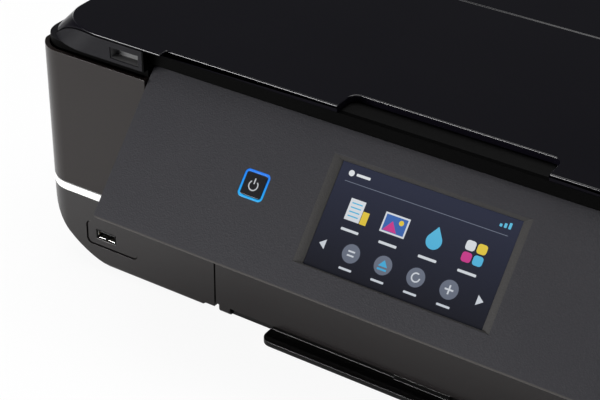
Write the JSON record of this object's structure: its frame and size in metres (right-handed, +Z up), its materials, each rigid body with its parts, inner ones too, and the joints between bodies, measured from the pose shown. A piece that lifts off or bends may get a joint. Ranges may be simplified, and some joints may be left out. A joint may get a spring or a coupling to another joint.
{
  "type": "inkjet printer",
  "caption": "Low flatbed inkjet printer with a tilting touch panel, sliding paper drawer and output tray, lifting scanner unit and hinged lid over a moving print carriage.",
  "frame": {"origin": "on the table under the middle of the outline, with the control panel raised as pictured", "axes": "+X to the printer's right as seen from the front, +Y to the rear, +Z up"},
  "size_m": [0.479, 0.4024, 0.148],
  "materials": {
    "case_gloss": "gloss moulded, brown black",
    "lower_gloss": "gloss moulded, brown black",
    "lid_gloss": "high gloss black",
    "panel_matte": "fine grained charcoal",
    "strip_matte": "fine grained dark grey",
    "trim_white": "white",
    "black_gloss": "gloss black",
    "black_matte": "textured black",
    "inner_grey": "moulded grey",
    "sheet_steel": "zinc plated sheet",
    "bright_steel": "ground bar",
    "socket_metal": "tinned shell",
    "rubber_black": "soft black rubber",
    "roller_rubber": "grey rubber",
    "gear_nylon": "white acetal",
    "glass_clear": "clear float glass",
    "screen_dark": "lit colour display",
    "ring_blue": "lit blue ring",
    "button_black": "gloss black",
    "mat_white": "white foam backed sheet",
    "board_green": "solder mask",
    "pad_felt": "absorbent felt",
    "ink_mix": "black cartridge with coloured label",
    "strip_film": "printed film"
  },
  "bodies": {
    "housing": {"lower_case": "lower_gloss", "upper_case": "case_gloss", "trim_band_left": "trim_white", "trim_band_right": "trim_white", "base_pan": "black_matte", "rubber_feet": "rubber_black", "base_screws": "sheet_steel", "rear_cover": "black_matte", "usb_plate": "black_gloss", "usb_port": "socket_metal", "power_inlet": "black_matte", "network_socket": "socket_metal", "computer_socket": "socket_metal", "main_board": "board_green", "power_supply": "inner_grey", "waste_ink_pad": "pad_felt", "maintenance_station": "inner_grey", "side_frame_left": "inner_grey", "side_frame_right": "inner_grey", "main_frame": "sheet_steel", "guide_rod": "bright_steel", "encoder_strip": "strip_film", "carriage_motor": "sheet_steel", "feed_motor": "sheet_steel", "carriage_belt": "rubber_black", "platen": "black_matte", "pinch_holder": "black_matte", "pickup_arm": "black_matte", "scanner_hinges": "black_matte"},
    "scanner_unit": {"scanner_base": "strip_matte", "scanner_frame": "black_matte", "scanner_glass": "glass_clear", "scan_rod": "bright_steel", "lid_hinges": "black_matte"},
    "scan_head": {"scan_bar": "black_matte"},
    "lid": {"lid_cover": "lid_gloss", "lid_mat": "mat_white"},
    "control_panel": {"panel_face": "panel_matte", "panel_back": "black_matte", "touch_screen": "screen_dark", "light_ring": "ring_blue"},
    "power_key": {"power_button": "button_black"},
    "drawer": {"drawer_front": "lower_gloss", "paper_tray": "black_gloss"},
    "guide_left": {"edge_guide_left": "black_matte"},
    "guide_right": {"edge_guide_right": "black_matte"},
    "out_tray": {"output_tray": "black_matte"},
    "out_extension": {"tray_extension": "black_matte"},
    "print_carriage": {"carriage": "black_matte", "print_head": "inner_grey", "ink_cartridges": "ink_mix"},
    "belt_drive": {"drive_pulley": "gear_nylon"},
    "belt_idler": {"idler_pulley": "gear_nylon"},
    "feed_drum": {"feed_roller": "roller_rubber", "feed_gear": "gear_nylon"},
    "gear_idler": {"idler_gear": "gear_nylon"},
    "exit_drum": {"exit_roller": "roller_rubber"},
    "pinch_drum": {"pinch_roller": "gear_nylon"},
    "pinion": {"motor_pinion": "gear_nylon"},
    "pickup_drum": {"pickup_roller": "roller_rubber"}
  },
  "joints": [
    {"name": "scanner_lift", "type": "hinge", "parent": "housing", "child": "scanner_unit", "pos_m": [0, 0.19666, 0.1345], "axis": [-1, 0, 0], "range_deg": [0, 36]},
    {"name": "lid_lift", "type": "hinge", "parent": "scanner_unit", "child": "lid", "pos_m": [0, 0.19696, 0.146], "axis": [-1, 0, 0], "range_deg": [0, 80]},
    {"name": "scan_travel", "type": "slide", "parent": "scanner_unit", "child": "scan_head", "axis": [1, 0, 0], "range_m": [0, 0.32]},
    {"name": "panel_tilt", "type": "hinge", "parent": "housing", "child": "control_panel", "pos_m": [0, -0.14484, 0.1229], "axis": [-1, 0, 0], "range_deg": [-41.5, 20]},
    {"name": "power_press", "type": "slide", "parent": "control_panel", "child": "power_key", "axis": [0, 0.7487, -0.6629], "range_m": [0, 0.001], "stiffness_N_per_m": 400, "springref_m": -0.0005},
    {"name": "drawer_slide", "type": "slide", "parent": "housing", "child": "drawer", "axis": [0, -1, 0], "range_m": [0, 0.18]},
    {"name": "guide_right_slide", "type": "slide", "parent": "drawer", "child": "guide_right", "axis": [-1, 0, 0], "range_m": [0, 0.055]},
    {"name": "guide_left_slide", "type": "slide", "parent": "drawer", "child": "guide_left", "axis": [1, 0, 0], "range_m": [0, 0.055]},
    {"name": "out_slide", "type": "slide", "parent": "housing", "child": "out_tray", "axis": [0, -1, 0], "range_m": [0, 0.12]},
    {"name": "extension_slide", "type": "slide", "parent": "out_tray", "child": "out_extension", "axis": [0, -1, 0], "range_m": [0, 0.1]},
    {"name": "carriage_slide", "type": "slide", "parent": "housing", "child": "print_carriage", "axis": [-1, 0, 0], "range_m": [0, 0.31]},
    {"name": "belt_drive_spin", "type": "hinge", "parent": "housing", "child": "belt_drive", "pos_m": [-0.195, 0.092, 0.101], "axis": [0, 1, 0], "range_deg": [-5, 3388.2]},
    {"name": "belt_idler_spin", "type": "hinge", "parent": "housing", "child": "belt_idler", "pos_m": [0.195, 0.092, 0.101], "axis": [0, 1, 0], "range_deg": [-5, 3388.2]},
    {"name": "feed_spin", "type": "hinge", "parent": "housing", "child": "feed_drum", "pos_m": [0, 0.062, 0.058], "axis": [1, 0, 0], "continuous": true},
    {"name": "idler_spin", "type": "hinge", "parent": "housing", "child": "gear_idler", "pos_m": [0, 0.03082, 0.04], "axis": [1, 0, 0], "continuous": true},
    {"name": "exit_spin", "type": "hinge", "parent": "housing", "child": "exit_drum", "pos_m": [0, 0.00657, 0.054], "axis": [1, 0, 0], "continuous": true},
    {"name": "pinch_spin", "type": "hinge", "parent": "housing", "child": "pinch_drum", "pos_m": [0, 0.062, 0.0683], "axis": [1, 0, 0], "continuous": true},
    {"name": "pinion_spin", "type": "hinge", "parent": "housing", "child": "pinion", "pos_m": [0, 0.0828, 0.058], "axis": [1, 0, 0], "continuous": true},
    {"name": "pickup_spin", "type": "hinge", "parent": "housing", "child": "pickup_drum", "pos_m": [0, 0.096, 0.0275], "axis": [1, 0, 0], "continuous": true}
  ],
  "couplings": [
    {"joint": "guide_left_slide", "follows": "guide_right_slide", "ratio": 1},
    {"joint": "belt_drive_spin", "follows": "carriage_slide", "rad_per_m": 190.48},
    {"joint": "belt_idler_spin", "follows": "carriage_slide", "rad_per_m": 190.48},
    {"joint": "idler_spin", "follows": "feed_spin", "ratio": -0.8},
    {"joint": "exit_spin", "follows": "feed_spin", "ratio": 2},
    {"joint": "pinch_spin", "follows": "feed_spin", "ratio": -1.5},
    {"joint": "pinion_spin", "follows": "feed_spin", "ratio": -3.3333}
  ]
}
